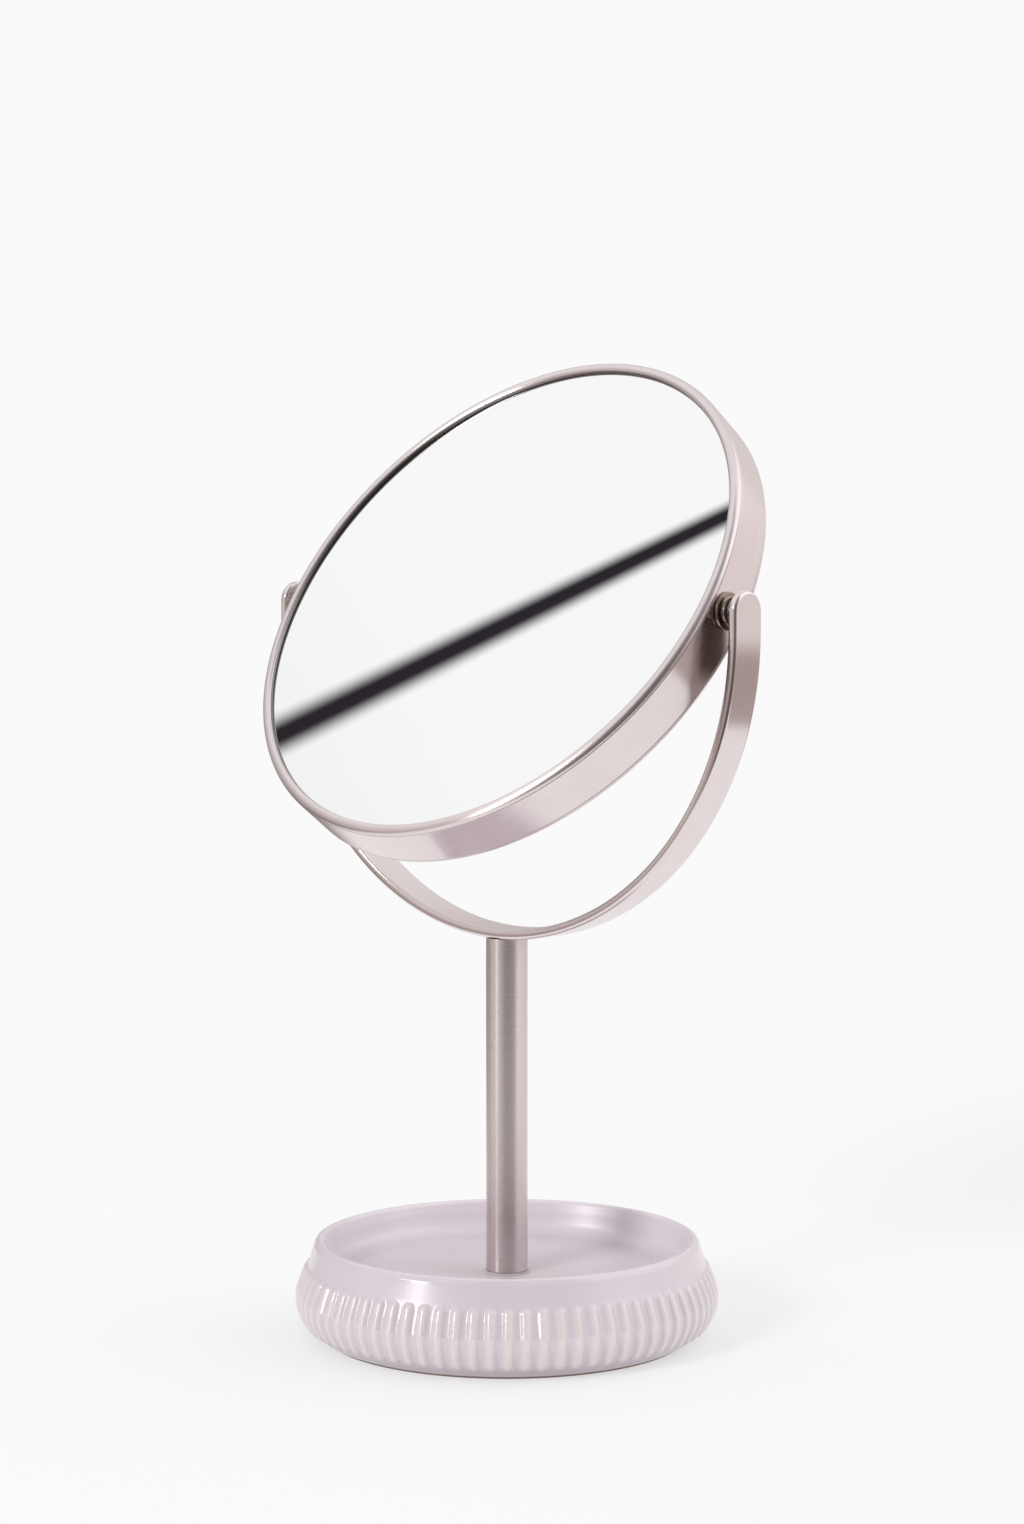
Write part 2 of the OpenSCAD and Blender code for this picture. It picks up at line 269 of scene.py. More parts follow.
def steel(name, base, rough, aniso=0.7, rotation=0.25, streak=0.05, rough_var=0.05, dent=0.004, along="round", smudge=0.0, gap_shade=None, foot=False):
    """Brushed stainless steel. The grooves follow u of the brush map."""
    m, nt, b = new_mat(name)
    b.inputs["Metallic"].default_value = 1.0
    b.inputs["Anisotropic"].default_value = aniso
    b.inputs["Anisotropic Rotation"].default_value = rotation
    tan = nt.nodes.new("ShaderNodeTangent")
    tan.direction_type = "UV_MAP"
    tan.uv_map = "brush"
    nt.links.new(tan.outputs[0], b.inputs["Tangent"])
    uv = nt.nodes.new("ShaderNodeUVMap")
    uv.uv_map = "brush"
    tc = nt.nodes.new("ShaderNodeTexCoord")
    sep_uv = nt.nodes.new("ShaderNodeSeparateXYZ")
    nt.links.new(uv.outputs[0], sep_uv.inputs[0])
    sep_ob = nt.nodes.new("ShaderNodeSeparateXYZ")
    nt.links.new(tc.outputs["Object"], sep_ob.inputs[0])
    com = nt.nodes.new("ShaderNodeCombineXYZ")
    # the first two coordinates run slowly along the grooves, the third quickly across them
    first, second = {"round": ("X", "Y"), "yoke": ("X", "Z"), "stem": ("X", "Y"), "turned": ("Y", "Z")}[along]
    nt.links.new(math_node(nt, "MULTIPLY", sep_ob.outputs[first], 22.0), com.inputs[0])
    nt.links.new(math_node(nt, "MULTIPLY", sep_ob.outputs[second], 22.0), com.inputs[1])
    nt.links.new(math_node(nt, "MULTIPLY", sep_uv.outputs[0 if along == "stem" else 1], 1.0), com.inputs[2])
    fine = noise(nt, scaled(nt, com.outputs[0], (1.0, 1.0, 5.0)), 1.0, 5.0, 0.75)
    wide = noise(nt, scaled(nt, com.outputs[0], (0.35, 0.35, 0.9)), 1.0, 3.0, 0.6)
    both = math_node(nt, "ADD", math_node(nt, "MULTIPLY", fine, 0.62), math_node(nt, "MULTIPLY", wide, 0.38))
    light = mapped(nt, both, 1.0 - 1.6 * streak, 1.0 + 1.2 * streak, 0.3, 0.7)
    blotch = noise(nt, scaled(nt, tc.outputs["Object"], (60.0, 60.0, 60.0)), 1.0, 3.0, 0.6)
    warm = mix_rgb(nt, mapped(nt, blotch, 0.0, 1.0, 0.35, 0.7), base, tuple(c * k for c, k in zip(base, (0.985, 0.965, 0.965))))
    colour = nt.nodes.new("ShaderNodeVectorMath")
    colour.operation = "SCALE"
    nt.links.new(warm, colour.inputs[0])
    nt.links.new(light, colour.inputs["Scale"])
    out = colour.outputs[0]
    r = mapped(nt, both, rough - rough_var, rough + rough_var, 0.3, 0.7)
    if smudge:
        s1 = noise(nt, scaled(nt, tc.outputs["Object"], (170.0, 170.0, 120.0)), 1.0, 5.0, 0.7)
        s2 = mapped(nt, s1, 0.0, 1.0, 0.61, 0.69, smooth=True)
        zone = noise(nt, scaled(nt, tc.outputs["Object"], (40.0, 40.0, 28.0)), 1.0, 1.0, 0.5)
        s3 = math_node(nt, "MULTIPLY", s2, mapped(nt, zone, 0.0, 1.0, 0.45, 0.62, smooth=True))
        r = math_node(nt, "ADD", r, math_node(nt, "MULTIPLY", s3, 0.14 * smudge))
        out = mix_rgb(nt, math_node(nt, "MULTIPLY", s3, 0.35 * smudge), out, tuple(c * 0.55 for c in base))
    if foot:
        # painted shade: the base colour turns darker and browner towards the tray, standing in for the shaded tray that
        # the lower stem reflects
        out = mix_rgb(nt, mapped(nt, sep_ob.outputs["Z"], 0.36, 0.0, 0.020, 0.085), out, (0.42, 0.355, 0.345))
    if gap_shade:
        # painted shade: a dark brown patch on the right arm's inner face by the pivot, fading between two heights,
        # standing in for the dark gap between arm and frame
        arm = math_node(nt, "MULTIPLY", mapped(nt, sep_ob.outputs["Z"], 0.0, 1.0, gap_shade[0], gap_shade[1], smooth=True),
                        mapped(nt, sep_ob.outputs["X"], 0.0, 1.0, 0.05, 0.08, smooth=True))
        out = mix_rgb(nt, arm, out, (0.13, 0.095, 0.08))
        # the left tip is left unpolished
        r = math_node(nt, "ADD", r, mapped(nt, sep_ob.outputs["X"], 0.30, 0.0, -0.088, -0.080, smooth=True))
    nt.links.new(out, b.inputs["Base Color"])
    nt.links.new(r, b.inputs["Roughness"])
    if dent:
        bump(nt, b, both, dent * MM * 4, 0.6)
    return m


def plain_steel(name, base, rough, grain=900.0):
    """Plated hardware: fine tumbled grain."""
    m, nt, b = new_mat(name)
    tc = nt.nodes.new("ShaderNodeTexCoord")
    b.inputs["Metallic"].default_value = 1.0
    f = noise(nt, tc.outputs["Object"], grain, 4.0, 0.6)
    nt.links.new(mix_rgb(nt, mapped(nt, f, 0.0, 1.0, 0.3, 0.7), tuple(c * 0.9 for c in base), base), b.inputs["Base Color"])
    nt.links.new(mapped(nt, f, rough - 0.05, rough + 0.06, 0.3, 0.7), b.inputs["Roughness"])
    bump(nt, b, f, 0.01 * MM, 0.3)
    return m


def moulded(name, base, rough, grain=700.0, depth=0.02, var=0.1):
    """Plastic, nylon, rubber and foam, with a moulded grain."""
    m, nt, b = new_mat(name)
    tc = nt.nodes.new("ShaderNodeTexCoord")
    f = noise(nt, tc.outputs["Object"], grain, 4.0, 0.6)
    nt.links.new(mix_rgb(nt, mapped(nt, f, 0.0, 1.0, 0.3, 0.7), tuple(c * (1 - var) for c in base), base), b.inputs["Base Color"])
    nt.links.new(mapped(nt, f, rough - 0.06, rough + 0.08, 0.3, 0.7), b.inputs["Roughness"])
    bump(nt, b, f, depth * MM, 0.5)
    return m


def silver(name):
    """The silvered back seen through clear glass: a mirror with a breath of dust."""
    m, nt, b = new_mat(name)
    tc = nt.nodes.new("ShaderNodeTexCoord")
    b.inputs["Metallic"].default_value = 1.0
    f = noise(nt, tc.outputs["Object"], 18.0, 3.0, 0.5)
    nt.links.new(mix_rgb(nt, f, (0.962, 0.967, 0.965), (0.968, 0.972, 0.970)), b.inputs["Base Color"])
    dust = noise(nt, tc.outputs["Object"], 260.0, 5.0, 0.65)
    nt.links.new(mapped(nt, dust, 0.0, 0.012, 0.62, 0.85), b.inputs["Roughness"])
    b.inputs["Coat Weight"].default_value = 0.0
    return m


def glaze(name):
    """Pale mauve glaze that thins to cream where it runs off the ribs and the rim."""
    m, nt, b = new_mat(name)
    tc = nt.nodes.new("ShaderNodeTexCoord")
    att = nt.nodes.new("ShaderNodeAttribute")
    att.attribute_name = "relief"
    cloud = noise(nt, tc.outputs["Object"], 38.0, 3.0, 0.5)
    speck = noise(nt, tc.outputs["Object"], 1300.0, 2.0, 0.5)
    body = mix_rgb(nt, mapped(nt, cloud, 0.0, 1.0, 0.3, 0.7), (0.618, 0.548, 0.600), (0.640, 0.570, 0.620))
    body = mix_rgb(nt, mapped(nt, speck, 0.0, 0.10, 0.55, 0.75), body, (0.80, 0.73, 0.74))
    edge = math_node(nt, "ADD", att.outputs["Fac"], mapped(nt, cloud, -0.07, 0.07, 0.3, 0.7))
    thin = mapped(nt, edge, 0.0, 1.0, 0.25, 1.0, smooth=True)
    col = mix_rgb(nt, math_node(nt, "MULTIPLY", thin, 0.62), body, (0.725, 0.660, 0.640))
    # painted light: paler on the inner wall, lifting the tray's shaded inside
    height = nt.nodes.new("ShaderNodeSeparateXYZ")
    nt.links.new(tc.outputs["Object"], height.inputs[0])
    flat = nt.nodes.new("ShaderNodeVectorMath")
    flat.operation = "LENGTH"
    nt.links.new(scaled(nt, tc.outputs["Object"], (1.0, 1.0, 0.0)), flat.inputs[0])
    painted_light_wall = math_node(nt, "MULTIPLY", mapped(nt, height.outputs["Z"], 0.0, 1.0, 0.0192, 0.0225, smooth=True),
                     mapped(nt, flat.outputs["Value"], 1.0, 0.0, 0.0562, 0.0578, smooth=True))
    col = mix_rgb(nt, painted_light_wall, col, (0.722, 0.650, 0.704))
    # painted shade: darker just above the foot, on the undercut that faces the floor
    col = mix_rgb(nt, mapped(nt, height.outputs["Z"], 1.0, 0.0, 0.0016, 0.0056, smooth=True), col, (0.44, 0.385, 0.415))
    nt.links.new(col, b.inputs["Base Color"])
    outer = math_node(nt, "MULTIPLY", mapped(nt, height.outputs["Z"], 0.0, 1.0, 0.0200, 0.0225, smooth=True),
                      mapped(nt, height.outputs["Z"], 1.0, 0.0, 0.0264, 0.0280, smooth=True))
    satin = math_node(nt, "MAXIMUM", math_node(nt, "MULTIPLY", outer, 0.15), mapped(nt, flat.outputs["Value"], 0.23, 0.0, 0.0550, 0.0562))
    nt.links.new(math_node(nt, "ADD", mapped(nt, cloud, 0.065, 0.09, 0.3, 0.7), satin), b.inputs["Roughness"])
    b.inputs["IOR"].default_value = 1.82
    wave = noise(nt, tc.outputs["Object"], 60.0, 1.0, 0.4)
    bump(nt, b, wave, 0.05 * MM, 0.25)
    return m


STEEL = (0.805, 0.728, 0.732)
band_mat = steel("band_steel", STEEL, 0.17, aniso=0.85, streak=0.03, rough_var=0.03)
bezel_mat = steel("bezel_steel", STEEL, 0.25, aniso=0.85, streak=0.02, rough_var=0.02, dent=0.0015)
# painted shade: near-black steel on the innermost wall of the lip, for the dark line at the glass edge
lip_shade_mat = steel("lip_inner_painted_shade", (0.26, 0.245, 0.245), 0.22, aniso=0.85, streak=0.02, rough_var=0.02, dent=0.0)
yoke_mat = steel("yoke_steel", STEEL, 0.17, aniso=0.85, streak=0.03, along="yoke", rough_var=0.03)
edge_mat = steel("yoke_edge_steel", STEEL, 0.14, aniso=0.3, streak=0.05, along="yoke", rough_var=0.04)
# painted light: the inner faces get a paler base than the outer faces of the same strip
# painted shade: the two heights given paint a dark patch on the right arm's inner face by the pivot
inner_mat = steel("yoke_inner_steel", (0.87, 0.795, 0.795), 0.22, aniso=0.85, streak=0.03, along="yoke", rough_var=0.03, gap_shade=(0.192, 0.203))
# the stem's base colour is painted darker towards the tray (painted shade)
stem_mat = steel("stem_steel", (0.775, 0.70, 0.695), 0.26, aniso=1.0, rotation=0.0, streak=0.03, along="stem", rough_var=0.03, smudge=1.6, foot=True)
pivot_mat = steel("pivot_steel", (0.76, 0.69, 0.67), 0.16, aniso=0.3, streak=0.04, along="turned")
# painted shade and light: the two pivots get differently coloured copies of one part, dark brown on the right and pale
# on the left
bush_mat = steel("pivot_bush_steel", (0.35, 0.27, 0.225), 0.26, aniso=0.3, streak=0.05, along="turned")
satin_lit_mat = steel("pivot_steel_satin_painted_light", (0.88, 0.81, 0.80), 0.48, aniso=0.0, streak=0.04, along="turned")
# near-black on the bezel faces inside the seam to the band: partly dirt in the joint, partly painted shade of the gap
seam_mat = plain_steel("seam_steel", (0.055, 0.045, 0.042), 0.45)
# black paint on the edges and backs of the glasses, and painted shade on the bezel faces hidden under the lip
edge_paint_shade_mat = moulded("black_edge_paint_and_shade", (0.012, 0.011, 0.012), 0.5)
zinc_mat = plain_steel("zinc_steel", (0.62, 0.63, 0.64), 0.32)
silver_mat = silver("mirror_silver")
glaze_mat = glaze("lilac_glaze")
black_mat = moulded("dark_nylon", (0.018, 0.017, 0.018), 0.38)
white_mat = moulded("white_plastic", (0.78, 0.78, 0.76), 0.38, depth=0.01, var=0.04)
foam_mat = moulded("grey_foam", (0.23, 0.23, 0.24), 0.9, grain=1600.0, depth=0.2, var=0.4)
rubber_mat = moulded("black_rubber", (0.03, 0.03, 0.032), 0.6, depth=0.03)
pad_mat = moulded("pad_rubber", (0.26, 0.19, 0.15), 0.7, depth=0.04)


def clear_rubber():
    m, nt, b = new_mat("clear_silicone")
    tc = nt.nodes.new("ShaderNodeTexCoord")
    f = noise(nt, tc.outputs["Object"], 500.0, 3.0, 0.5)
    nt.links.new(mix_rgb(nt, f, (0.80, 0.80, 0.82), (0.88, 0.88, 0.89)), b.inputs["Base Color"])
    nt.links.new(mapped(nt, f, 0.42, 0.52, 0.3, 0.7), b.inputs["Roughness"])
    b.inputs["Transmission Weight"].default_value = 0.35
    b.inputs["IOR"].default_value = 1.41
    b.inputs["Subsurface Weight"].default_value = 0.3
    b.inputs["Subsurface Radius"].default_value = (0.001, 0.001, 0.001)
    return m


clear_mat = clear_rubber()


def dress(node, mat):
    """Gives a CAD node that stays in view its procedural material."""
    o = nodes[node]
    if not o.material_slots:
        o.data.materials.append(mat)
    for s in o.material_slots:
        s.material = mat


# ---------------------------------------------------------------- mirror head, in its own frame
def place_head(o, slot, *replaced):
    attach(o, "mirror_head")
    if replaced:
        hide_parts(*replaced)
    return o


SEG = 288

# flat strip rolled into a ring, its edges broken, with a dark shadow gap to the bezels
band_profile = soften([(R, -6.46), (R, 6.46), (R - 0.14, 6.58), (R - 0.70, 6.58), (R - 0.80, 6.48),
                       (R - 0.80, -6.48), (R - 0.70, -6.58), (R - 0.14, -6.58)], [0.1, 0.1, 0.03, 0, 0, 0, 0, 0.03], 2)
band_extra = []
for i, p in enumerate(band_profile):
    band_extra.append(p)
    q = band_profile[(i + 1) % len(band_profile)]
    if abs(q[1] - p[1]) > 5:
        band_extra += [(p[0] + (q[0] - p[0]) * k / 12, p[1] + (q[1] - p[1]) * k / 12) for k in range(1, 12)]
band = Shape().revolve(band_extra, SEG, ref=R).build("frame_band", [band_mat], HEAD)
place_head(band, "brushed_frame", "mirror_band")


def bezel(name, side, node):
    lip = ([(R - 0.85, 6.62), (R - 0.30, 6.62), (R - 0.16, 6.62), (R - 0.03, 6.74)]
           + arc(R - 1.815, 6.685, 1.8, 6, 80, 12)
           + arc(82.85, 7.15, 1.35, 86, 178, 12) + [(81.5, 7.06)])
    below = [(81.6, 7.03), (83.22, 7.05), (83.45, 6.9), (83.45, 3.6), (84.15, 3.6), (84.15, 6.60)]
    pts = lip + below
    mats = []
    for i in range(len(pts)):
        a, b = pts[i], pts[(i + 1) % len(pts)]
        hidden = i >= len(lip) - 1
        mats.append(1 if hidden else (2 if i <= 1 else (3 if i >= len(lip) - 6 else 0)))
    pts = [(r, z * side) for r, z in pts]
    o = Shape().revolve(pts, 2 * SEG, mat=np.array(mats), ref=R).build(name, [bezel_mat, edge_paint_shade_mat, seam_mat, lip_shade_mat], HEAD, sharp=40)
    return place_head(o, "bezel_steel", node)


front_lip = bezel("front_lip", 1, "front_bezel")
bezel("rear_lip", -1, "rear_bezel")

# plain glass: its silvered side lies a little below the glass face, as the eye sees it
RINGS = np.concatenate([[0.0], np.linspace(6, 82, 14), [83.15]])
GLASS = 7.4 - 0.52
top = [(r, GLASS) for r in RINGS]
plain = Shape().revolve(top + [(83.2, GLASS - 0.05), (83.2, 5.45)] + [(r, 5.42) for r in (83.15, 40.0, 0.0)], SEG, close=False,
                        mat=np.array([0] * (len(top) - 1) + [1] * 5), ref=R)
plain = plain.build("plain_glass", [silver_mat, edge_paint_shade_mat], HEAD, weighted=False)
place_head(plain, "mirror_silver", "plain_mirror")

# magnifying glass: a shallow bowl of 1 m radius
MAG = 1000.0
sag = lambda r: math.sqrt(MAG * MAG - r * r) - math.sqrt(MAG * MAG - 83.2 * 83.2)
rr = np.concatenate([np.linspace(0, 82, 42), [83.15]])
face = [(r, -GLASS + sag(r)) for r in rr]
back = [(r, -GLASS + 1.3 + sag(r)) for r in np.linspace(83.15, 0, 20)]
mag = Shape().revolve(face + [(83.2, -GLASS + 0.05), (83.2, -5.45)] + back, SEG, close=False,
                      mat=np.array([0] * (len(face) - 1) + [1] * (len(back) + 2)), ref=R)
mag = mag.build("magnifying_glass", [silver_mat, edge_paint_shade_mat], HEAD, weighted=False)
place_head(mag, "mirror_silver", "magnifying_mirror")


# ---------------------------------------------------------------- pivots
def mirrored(profile, side):
    return [(r, x * side) for r, x in profile]


def turned(name, profile, side, mat, node, body, segs=72, soft=0.0, sharp=40, matrix=None):
    pts = soften(profile, soft, 3) if soft else profile
    o = Shape().revolve(mirrored(pts, side), segs, axis="X", ref=max(p[0] for p in pts)).build(
        name, [mat], Matrix.Translation((0, 0, PIVOT_Z * MM)) if matrix is None else matrix, sharp=sharp)
    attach(o, body)
    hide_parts(node)
    return o


bush = ([(1.55, 76.0), (3.0, 76.0), (3.0, 85.02), (5.3, 85.02), (5.6, 85.3)] + arc(5.1, 85.6, 0.5, -20, 90, 6)
        + [(4.3, 86.12), (3.85, 86.35), (3.7, 86.7), (3.7, 87.05), (3.5, 87.3), (1.55, 87.3)])
stud = ([(0.02, 69.5), (1.3, 69.5), (1.5, 69.7), (1.5, 88.0), (3.7, 88.0), (3.95, 88.25), (4.0, 89.6), (3.9, 89.95),
         (2.0, 89.98), (2.0, 92.8), (1.85, 92.95), (0.02, 92.95)])
for side, word in ((1, "right"), (-1, "left")):
    turned(word + "_bush", bush, side, bush_mat if side > 0 else satin_lit_mat, word + "_pivot_bush", "mirror_head", sharp=50)
    turned(word + "_stud", stud, side, pivot_mat if side > 0 else satin_lit_mat, word + "_pivot_stud", "stand", sharp=50)
    turned(word + "_friction_disc", [(1.6, 87.34), (4.2, 87.34), (4.2, 87.97), (1.6, 87.97)], side, black_mat,
           word + "_friction_washer", "stand", soft=0.12)

# ---------------------------------------------------------------- yoke
CH = 1.15           # rounding along the edges
half_w, half_t = YOKE_W / 2, YOKE_T / 2
mid_r = YOKE_R + half_t

section = soften([(half_w, half_t), (half_w, -half_t), (-half_w, -half_t), (-half_w, half_t)], CH, 8)
full = []
for i, p in enumerate(section):
    full.append(p)
    q = section[(i + 1) % len(section)]
    if abs(q[0] - p[0]) > 5:
        full += [(p[0] + (q[0] - p[0]) * k / 6, p[1]) for k in range(1, 6)]
section = np.array(full)


def yoke_point(s):
    """Centre line from the right tip down, round and up to the left tip: point, outward normal, unit tangent in x, z."""
    arm = PIVOT_Z - BEND_Z
    bend = math.pi * mid_r
    if s < arm:
        return (mid_r, PIVOT_Z - s), (1.0, 0.0), (0.0, -1.0)
    if s > arm + bend:
        return (-mid_r, BEND_Z + (s - arm - bend)), (-1.0, 0.0), (0.0, 1.0)
    a = (s - arm) / mid_r
    n = (math.cos(a), -math.sin(a))
    return (mid_r * n[0], BEND_Z + mid_r * n[1]), n, (-math.sin(a), -math.cos(a))


length = 2 * (PIVOT_Z - BEND_Z) + math.pi * mid_r
rows, along = [], []
TIP = 18
for k in range(TIP):                       # right tip
    a = math.pi / 2 * (1 - k / TIP)
    rows.append(("tip", 0.0, -1.0, a))
    along.append(-half_w * math.sin(a))
for s in np.concatenate([np.linspace(0, PIVOT_Z - BEND_Z, 4)[:-1], np.linspace(PIVOT_Z - BEND_Z, length - (PIVOT_Z - BEND_Z), 181),
                         np.linspace(length - (PIVOT_Z - BEND_Z), length, 4)[1:]]):
    rows.append(("body", s, 0.0, 0.0))
    along.append(s)
for k in range(1, TIP + 1):                # left tip
    a = math.pi / 2 * k / TIP
    rows.append(("tip", length, 1.0, a))
    along.append(length + half_w * math.sin(a))
P = np.zeros((len(rows), len(section), 3))
for i, (kind, s, way, a) in enumerate(rows):
    c, n, t = yoke_point(s)
    for j, (y, th) in enumerate(section):
        inset = half_w - min(abs(y), half_w)
        inset = min(inset, CH)
        yy, ds = y, 0.0
        if kind == "tip":
            ds = way * (half_w - inset) * math.sin(a)
            yy = y * math.cos(a)
        P[i, j] = (c[0] + n[0] * th + t[0] * ds, yy, c[1] + n[1] * th + t[1] * ds)
per = np.concatenate([[0], np.cumsum(np.linalg.norm(np.diff(np.concatenate([section, section[:1]]), axis=0), axis=1))])
closed = np.concatenate([section, section[:1]])
middle = (closed[:-1] + closed[1:]) / 2
on_edge = np.where(np.abs(middle[:, 0]) > half_w - CH, 1, np.where(middle[:, 1] < 0, 2, 0))
yoke = Shape().grid(P, along, per, close_v=True, mat=on_edge).build("yoke_strip", [yoke_mat, edge_mat, inner_mat], sharp=38)
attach(yoke, "stand")
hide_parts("yoke")

# ---------------------------------------------------------------- stem
stem_pts = soften([(STEM_R, STEM_Z0), (STEM_R, STEM_Z1), (STEM_R - 1.0, STEM_Z1), (STEM_R - 1.0, STEM_Z0)], [0.35, 0.3, 0.15, 0.15], 4)
more = []
for i, p in enumerate(stem_pts):
    more.append(p)
    q = stem_pts[(i + 1) % len(stem_pts)]
    if abs(q[1] - p[1]) > 20:
        more += [(p[0], p[1] + (q[1] - p[1]) * k / 16) for k in range(1, 16)]
p = np.array(more)
t = np.arange(96) / 96 * 2 * math.pi
P = np.stack([p[:, 0][:, None] * np.cos(t)[None, :], p[:, 0][:, None] * np.sin(t)[None, :], p[:, 1][:, None] + 0 * t[None, :]], -1)
q = np.concatenate([p, p[:1]])
up = np.concatenate([[0], np.cumsum(np.linalg.norm(np.diff(q, axis=0), axis=1))])
stem = Shape().grid(P, up, np.arange(97) / 96 * 2 * math.pi * STEM_R, close_u=True, close_v=True).build("stem_pipe", [stem_mat])
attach(stem, "stand")
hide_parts("stem_tube")

washer = Shape().revolve(soften([(3.3, 19.0), (7.0, 19.0), (7.0, 19.4), (3.3, 19.4)], [0, 0.15, 0.15, 0], 3), 96).build("stem_washer", [clear_mat])
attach(washer, "stand")
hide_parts("stem_gasket")

# ---------------------------------------------------------------- ceramic tray base
half_off = np.array([0.0, 0.35, 0.68, 1.0, 1.3, 1.6, 1.9, 2.22]) / (2 * math.pi * 63 / RIBS)
rib_off = np.concatenate([half_off, [0.5], -half_off[:0:-1]])
PER_RIB = len(rib_off)
COLS = RIBS * PER_RIB
off_one = rib_off * 2 * math.pi / RIBS
ang = (np.repeat(np.arange(RIBS), PER_RIB) + RIB_TURN + np.tile(np.where(rib_off < 0, rib_off + 1, rib_off), RIBS)) * 2 * math.pi / RIBS

side = smooth_line([(54.75, 0.42), (56.9, 1.35), (59.4, 3.8), (61.3, 6.6), (62.6, 10.0), (62.8, 13.0), (61.8, 16.8), (60.6, 19.9),
                    (59.7, 22.4), (59.1, 24.4), (58.5, 26.5), (58.1, 28.0)], 84)
rim = np.array(arc(56.4, 27.95, 1.45, 16, 164, 12))
inner = smooth_line([(54.85, 27.6), (54.45, 26.4), (54.1, 24.6), (53.3, 22.0), (51.6, 20.0), (49.2, 19.12), (46.0, 19.0)], 26)
floor_in = np.array([(r, 19.0) for r in (40.0, 30.0, 20.0, 12.0, 8.0, 3.6)])
throat = np.array([(3.3, 18.7), (3.3, 14.0)])
under = np.array([(20.0, 14.0), (40.0, 14.0)] + arc(52.0, 11.0, 3.0, 90, 0, 6) + [(54.6, 6.0), (48.6, 2.7), (48.5, 1.05), (48.7, 1.0), (51.5, 1.0), (54.2, 1.0), (54.46, 0.5)])
line = np.concatenate([side, rim, inner, floor_in, throat, under])
seg_len = np.linalg.norm(np.diff(line, axis=0), axis=1)
dist = np.concatenate([[0], np.cumsum(seg_len)])
tang = np.gradient(line, axis=0)
tang /= np.linalg.norm(tang, axis=1)[:, None]
nrm = np.stack([tang[:, 1], -tang[:, 0]], 1)

# ribs: half-round ridges with rounded ends
s_lo = float(np.interp(4.7, side[:, 1], dist[:len(side)]))
s_hi = float(np.interp(20.0, side[:, 1], dist[:len(side)]))
half_rib, high = 2.1, 0.92
off = np.tile(off_one, RIBS)
P = np.zeros((COLS, len(line), 3))
relief = np.zeros((COLS, len(line)))
for j, (r, z) in enumerate(line):
    h = np.zeros(COLS)
    if j < len(side):
        tang_d = np.abs(off) * r
        end = max(0.0, s_lo - dist[j], dist[j] - s_hi)
        d = np.sqrt(tang_d**2 + end**2) / half_rib
        h = 0.5 + 0.5 * np.cos(math.pi * np.clip(d, 0, 1) ** 1.2)
        relief[:, j] = h
    r2 = r + nrm[j, 0] * h * high
    z2 = z + nrm[j, 1] * h * high
    P[:, j] = np.stack([r2 * np.cos(ang), r2 * np.sin(ang), np.broadcast_to(z2, r2.shape)], -1)
for j in range(len(side), len(side) + len(rim)):
    relief[:, j] = 0.62 * math.sin(math.pi * (j - len(side)) / (len(rim) - 1))
Umm = np.concatenate([ang, [ang[0] + 2 * math.pi]]) * 60
Vmm = np.concatenate([dist, [dist[-1] + 0.2]])
mats = np.zeros(len(line), int)
dish = Shape().grid(P, Umm, Vmm, close_u=True, close_v=True, mat=mats, relief=relief)
dish = dish.build("ribbed_tray", [glaze_mat], sharp=60, weighted=False, relief=True)
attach(dish, "stand")
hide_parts("ceramic_base")

pad = Shape().revolve(soften([(48.7, 0.0), (54.72, 0.0), (54.72, 0.5), (54.4, 1.0), (48.7, 1.0)], [0.25, 0.12, 0, 0, 0], 3), 180).build("foot_ring", [pad_mat])
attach(pad, "stand")
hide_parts("foot_pad")

# ---------------------------------------------------------------- CAD nodes that stay
for n, m in (("spacer_ring", white_mat), ("foam_backing", foam_mat), ("yoke_screw", zinc_mat), ("stem_top_plug", zinc_mat),
             ("stem_foot_plug", zinc_mat), ("clamp_gasket", rubber_mat), ("clamp_washer", zinc_mat), ("base_screw", zinc_mat)):
    dress(n, m)
for word in ("right", "left"):
    dress(word + "_thrust_washer", white_mat)
    dress(word + "_spring_washer", zinc_mat)
    dress(word + "_lock_nut", zinc_mat)

# ---------------------------------------------------------------- floor
# a pale table top: its four sides as (unit vector across the side, distance from the object's middle, softness)
TABLE = [((0.602, 0.799), 0.50, 0.012), ((0.688, -0.725), 0.29, 0.03), ((-0.688, 0.725), 1.06, 0.30), ((-0.94, -0.34), 0.40, 0.20)]


def floor_mat():
    m, nt, b = new_mat("pale_table")
    tc = nt.nodes.new("ShaderNodeTexCoord")
    b.inputs["Roughness"].default_value = 0.9
    b.inputs["Specular IOR Level"].default_value = 0.0
    f = noise(nt, tc.outputs["Object"], 9.0, 2.0, 0.5)
    nt.links.new(mix_rgb(nt, f, (0.398, 0.398, 0.398), (0.402, 0.402, 0.402)), b.inputs["Base Color"])
    b.inputs["Emission Color"].default_value = (1.0, 1.0, 1.0, 1.0)
    b.inputs["Emission Strength"].default_value = 0.530
    a = None
    for (nx, ny), limit, soft in TABLE:
        dn = nt.nodes.new("ShaderNodeVectorMath")
        dn.operation = "DOT_PRODUCT"
        dn.inputs[1].default_value = (nx, ny, 0)
        nt.links.new(tc.outputs["Object"], dn.inputs[0])
        e = mapped(nt, dn.outputs["Value"], 1.0, 0.0, limit - soft, limit, smooth=True)
        a = e if a is None else math_node(nt, "MULTIPLY", a, e)
    nt.links.new(a, b.inputs["Alpha"])
    return m


gx = np.linspace(-1250, 900, 24)
P = np.stack(np.meshgrid(gx, gx, indexing="ij") + [np.zeros((24, 24))], -1)
floor = Shape().grid(P, gx, gx).build("floor", [floor_mat()], Matrix.Translation((0, 0, -0.00002)), weighted=False)


